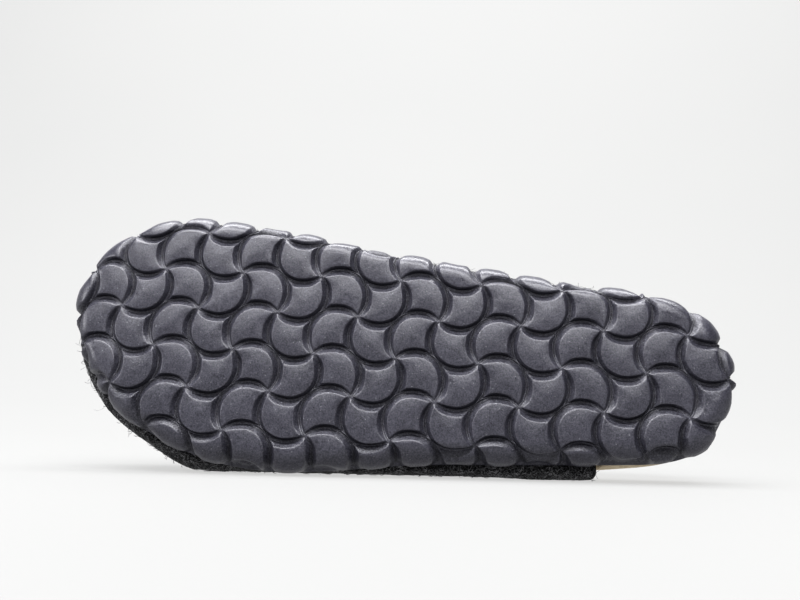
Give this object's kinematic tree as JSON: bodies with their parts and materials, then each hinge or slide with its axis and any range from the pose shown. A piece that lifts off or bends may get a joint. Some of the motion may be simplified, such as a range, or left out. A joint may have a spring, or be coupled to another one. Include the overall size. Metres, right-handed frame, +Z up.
{
  "type": "clog",
  "caption": "Open-backed felt clog with a moulded wave-tread sole and a shaped footbed, lying on its outer side.",
  "frame": {"origin": "bottom centre of the bounding box, on the floor under the shoe as it lies on its outer side", "axes": "+X towards the heel, -Y the way the tread faces, +Z up, with the inner side of the foot on top"},
  "size_m": [0.271, 0.0852, 0.104],
  "materials": {
    "outsole": "satin",
    "footbed": "matte",
    "insole": "matte",
    "upper": "matte"
  },
  "bodies": {
    "root": {"outsole": "outsole", "footbed": "footbed", "insole": "insole", "upper": "upper"}
  },
  "joints": []
}
